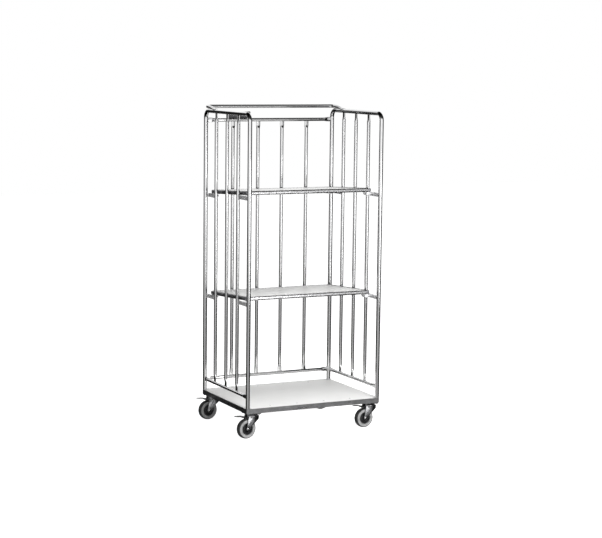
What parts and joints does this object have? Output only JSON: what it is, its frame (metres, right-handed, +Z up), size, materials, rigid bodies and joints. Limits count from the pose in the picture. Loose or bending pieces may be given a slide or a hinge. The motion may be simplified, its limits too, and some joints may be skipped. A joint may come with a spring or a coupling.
{
  "type": "linen and luggage trolley",
  "caption": "Three-sided barred trolley of bent plated tube on a board deck with braked swivel casters and sloping lift-out shelves.",
  "frame": {"origin": "on the floor, under the middle of the trolley's bounding box", "axes": "+Z up, X across the trolley, +Y towards the barred back panel, open front at -Y"},
  "size_m": [0.8042, 0.57, 1.64],
  "materials": {
    "frame_zinc": "satin zinc plate",
    "laminate": "smooth pale laminate on particleboard",
    "edge_aluminium": "satin anodised",
    "side_steel": "satin",
    "cap_plastic": "moulded",
    "label_black": "satin black, blank",
    "caster_zinc": "bright zinc plate",
    "pedal_steel": "bright zinc plate",
    "tyre_rubber": "grey rubber",
    "wheel_plastic": "black moulding",
    "bolt_zinc": "bright zinc plate",
    "support_zinc": "zinc plate",
    "tube_zinc": "bright plated tube"
  },
  "bodies": {
    "chassis": {"deck_frame": "frame_zinc", "caster_gussets": "frame_zinc", "deck_bearers": "frame_zinc", "deck_board": "laminate", "deck_screws": "bolt_zinc", "left_side_frame": "tube_zinc", "right_side_frame": "tube_zinc", "post_plugs": "bolt_zinc", "post_studs": "bolt_zinc", "left_lower_rail": "tube_zinc", "right_lower_rail": "tube_zinc", "left_bars": "tube_zinc", "right_bars": "tube_zinc", "back_upper_rail": "tube_zinc", "back_lower_rail": "tube_zinc", "back_bars": "tube_zinc", "rear_top_rail": "tube_zinc", "label_plate": "label_black", "upper_supports": "support_zinc", "lower_supports": "support_zinc", "caster_plates": "caster_zinc", "caster_bolts": "bolt_zinc", "caster_nuts": "bolt_zinc", "kingpins": "bolt_zinc"},
    "upper_shelf": {"upper_shelf_board": "laminate", "upper_shelf_long_profiles": "edge_aluminium", "upper_shelf_side_profiles": "side_steel", "upper_shelf_corner_caps": "cap_plastic", "upper_shelf_pegs": "support_zinc"},
    "lower_shelf": {"lower_shelf_board": "laminate", "lower_shelf_long_profiles": "edge_aluminium", "lower_shelf_side_profiles": "side_steel", "lower_shelf_corner_caps": "cap_plastic", "lower_shelf_pegs": "support_zinc"},
    "fl_swivel": {"fl_fork": "caster_zinc", "fl_axle": "bolt_zinc", "fl_pedal_pin": "bolt_zinc"},
    "fl_wheel": {"fl_wheel_core": "wheel_plastic", "fl_tyre": "tyre_rubber"},
    "fl_brake_pedal": {"fl_pedal": "pedal_steel"},
    "fr_swivel": {"fr_fork": "caster_zinc", "fr_axle": "bolt_zinc", "fr_pedal_pin": "bolt_zinc"},
    "fr_wheel": {"fr_wheel_core": "wheel_plastic", "fr_tyre": "tyre_rubber"},
    "fr_brake_pedal": {"fr_pedal": "pedal_steel"},
    "bl_swivel": {"bl_fork": "caster_zinc", "bl_axle": "bolt_zinc", "bl_pedal_pin": "bolt_zinc"},
    "bl_wheel": {"bl_wheel_core": "wheel_plastic", "bl_tyre": "tyre_rubber"},
    "bl_brake_pedal": {"bl_pedal": "pedal_steel"},
    "br_swivel": {"br_fork": "caster_zinc", "br_axle": "bolt_zinc", "br_pedal_pin": "bolt_zinc"},
    "br_wheel": {"br_wheel_core": "wheel_plastic", "br_tyre": "tyre_rubber"},
    "br_brake_pedal": {"br_pedal": "pedal_steel"}
  },
  "joints": [
    {"name": "upper_shelf_lift", "type": "slide", "parent": "chassis", "child": "upper_shelf", "axis": [0, 0, 1], "range_m": [0, 0.34]},
    {"name": "lower_shelf_lift", "type": "slide", "parent": "chassis", "child": "lower_shelf", "axis": [0, 0, 1], "range_m": [0, 0.43]},
    {"name": "fl_swivel_turn", "type": "hinge", "parent": "chassis", "child": "fl_swivel", "pos_m": [-0.30491, -0.245, 0.113], "axis": [0, 0, 1], "continuous": true},
    {"name": "fl_wheel_roll", "type": "hinge", "parent": "fl_swivel", "child": "fl_wheel", "pos_m": [-0.33363, -0.24904, 0.05], "axis": [-0.1392, 0.9903, 0], "continuous": true},
    {"name": "fl_brake_press", "type": "hinge", "parent": "fl_swivel", "child": "fl_brake_pedal", "pos_m": [-0.31778, -0.24681, 0.1075], "axis": [0.1392, -0.9903, 0], "range_deg": [0, 6.5], "stiffness_Nm_per_rad": 1.5, "springref_deg": -8.59},
    {"name": "fr_swivel_turn", "type": "hinge", "parent": "chassis", "child": "fr_swivel", "pos_m": [0.35909, -0.245, 0.113], "axis": [0, 0, 1], "continuous": true},
    {"name": "fr_wheel_roll", "type": "hinge", "parent": "fr_swivel", "child": "fr_wheel", "pos_m": [0.33016, -0.24702, 0.05], "axis": [-0.0698, 0.9976, 0], "continuous": true},
    {"name": "fr_brake_press", "type": "hinge", "parent": "fr_swivel", "child": "fr_brake_pedal", "pos_m": [0.34612, -0.24591, 0.1075], "axis": [0.0698, -0.9976, 0], "range_deg": [0, 6.5], "stiffness_Nm_per_rad": 1.5, "springref_deg": -8.59},
    {"name": "bl_swivel_turn", "type": "hinge", "parent": "chassis", "child": "bl_swivel", "pos_m": [-0.30491, 0.245, 0.113], "axis": [0, 0, 1], "continuous": true},
    {"name": "bl_wheel_roll", "type": "hinge", "parent": "bl_swivel", "child": "bl_wheel", "pos_m": [-0.33375, 0.24197, 0.05], "axis": [-0.1045, 0.9945, 0], "continuous": true},
    {"name": "bl_brake_press", "type": "hinge", "parent": "bl_swivel", "child": "bl_brake_pedal", "pos_m": [-0.31784, 0.24364, 0.1075], "axis": [0.1045, -0.9945, 0], "range_deg": [0, 6.5], "stiffness_Nm_per_rad": 1.5, "springref_deg": -8.59},
    {"name": "br_swivel_turn", "type": "hinge", "parent": "chassis", "child": "br_swivel", "pos_m": [0.35909, 0.245, 0.113], "axis": [0, 0, 1], "continuous": true},
    {"name": "br_wheel_roll", "type": "hinge", "parent": "br_swivel", "child": "br_wheel", "pos_m": [0.33016, 0.24702, 0.05], "axis": [0.0698, 0.9976, 0], "continuous": true},
    {"name": "br_brake_press", "type": "hinge", "parent": "br_swivel", "child": "br_brake_pedal", "pos_m": [0.34612, 0.24591, 0.1075], "axis": [-0.0698, -0.9976, 0], "range_deg": [0, 6.5], "stiffness_Nm_per_rad": 1.5, "springref_deg": -8.59}
  ]
}
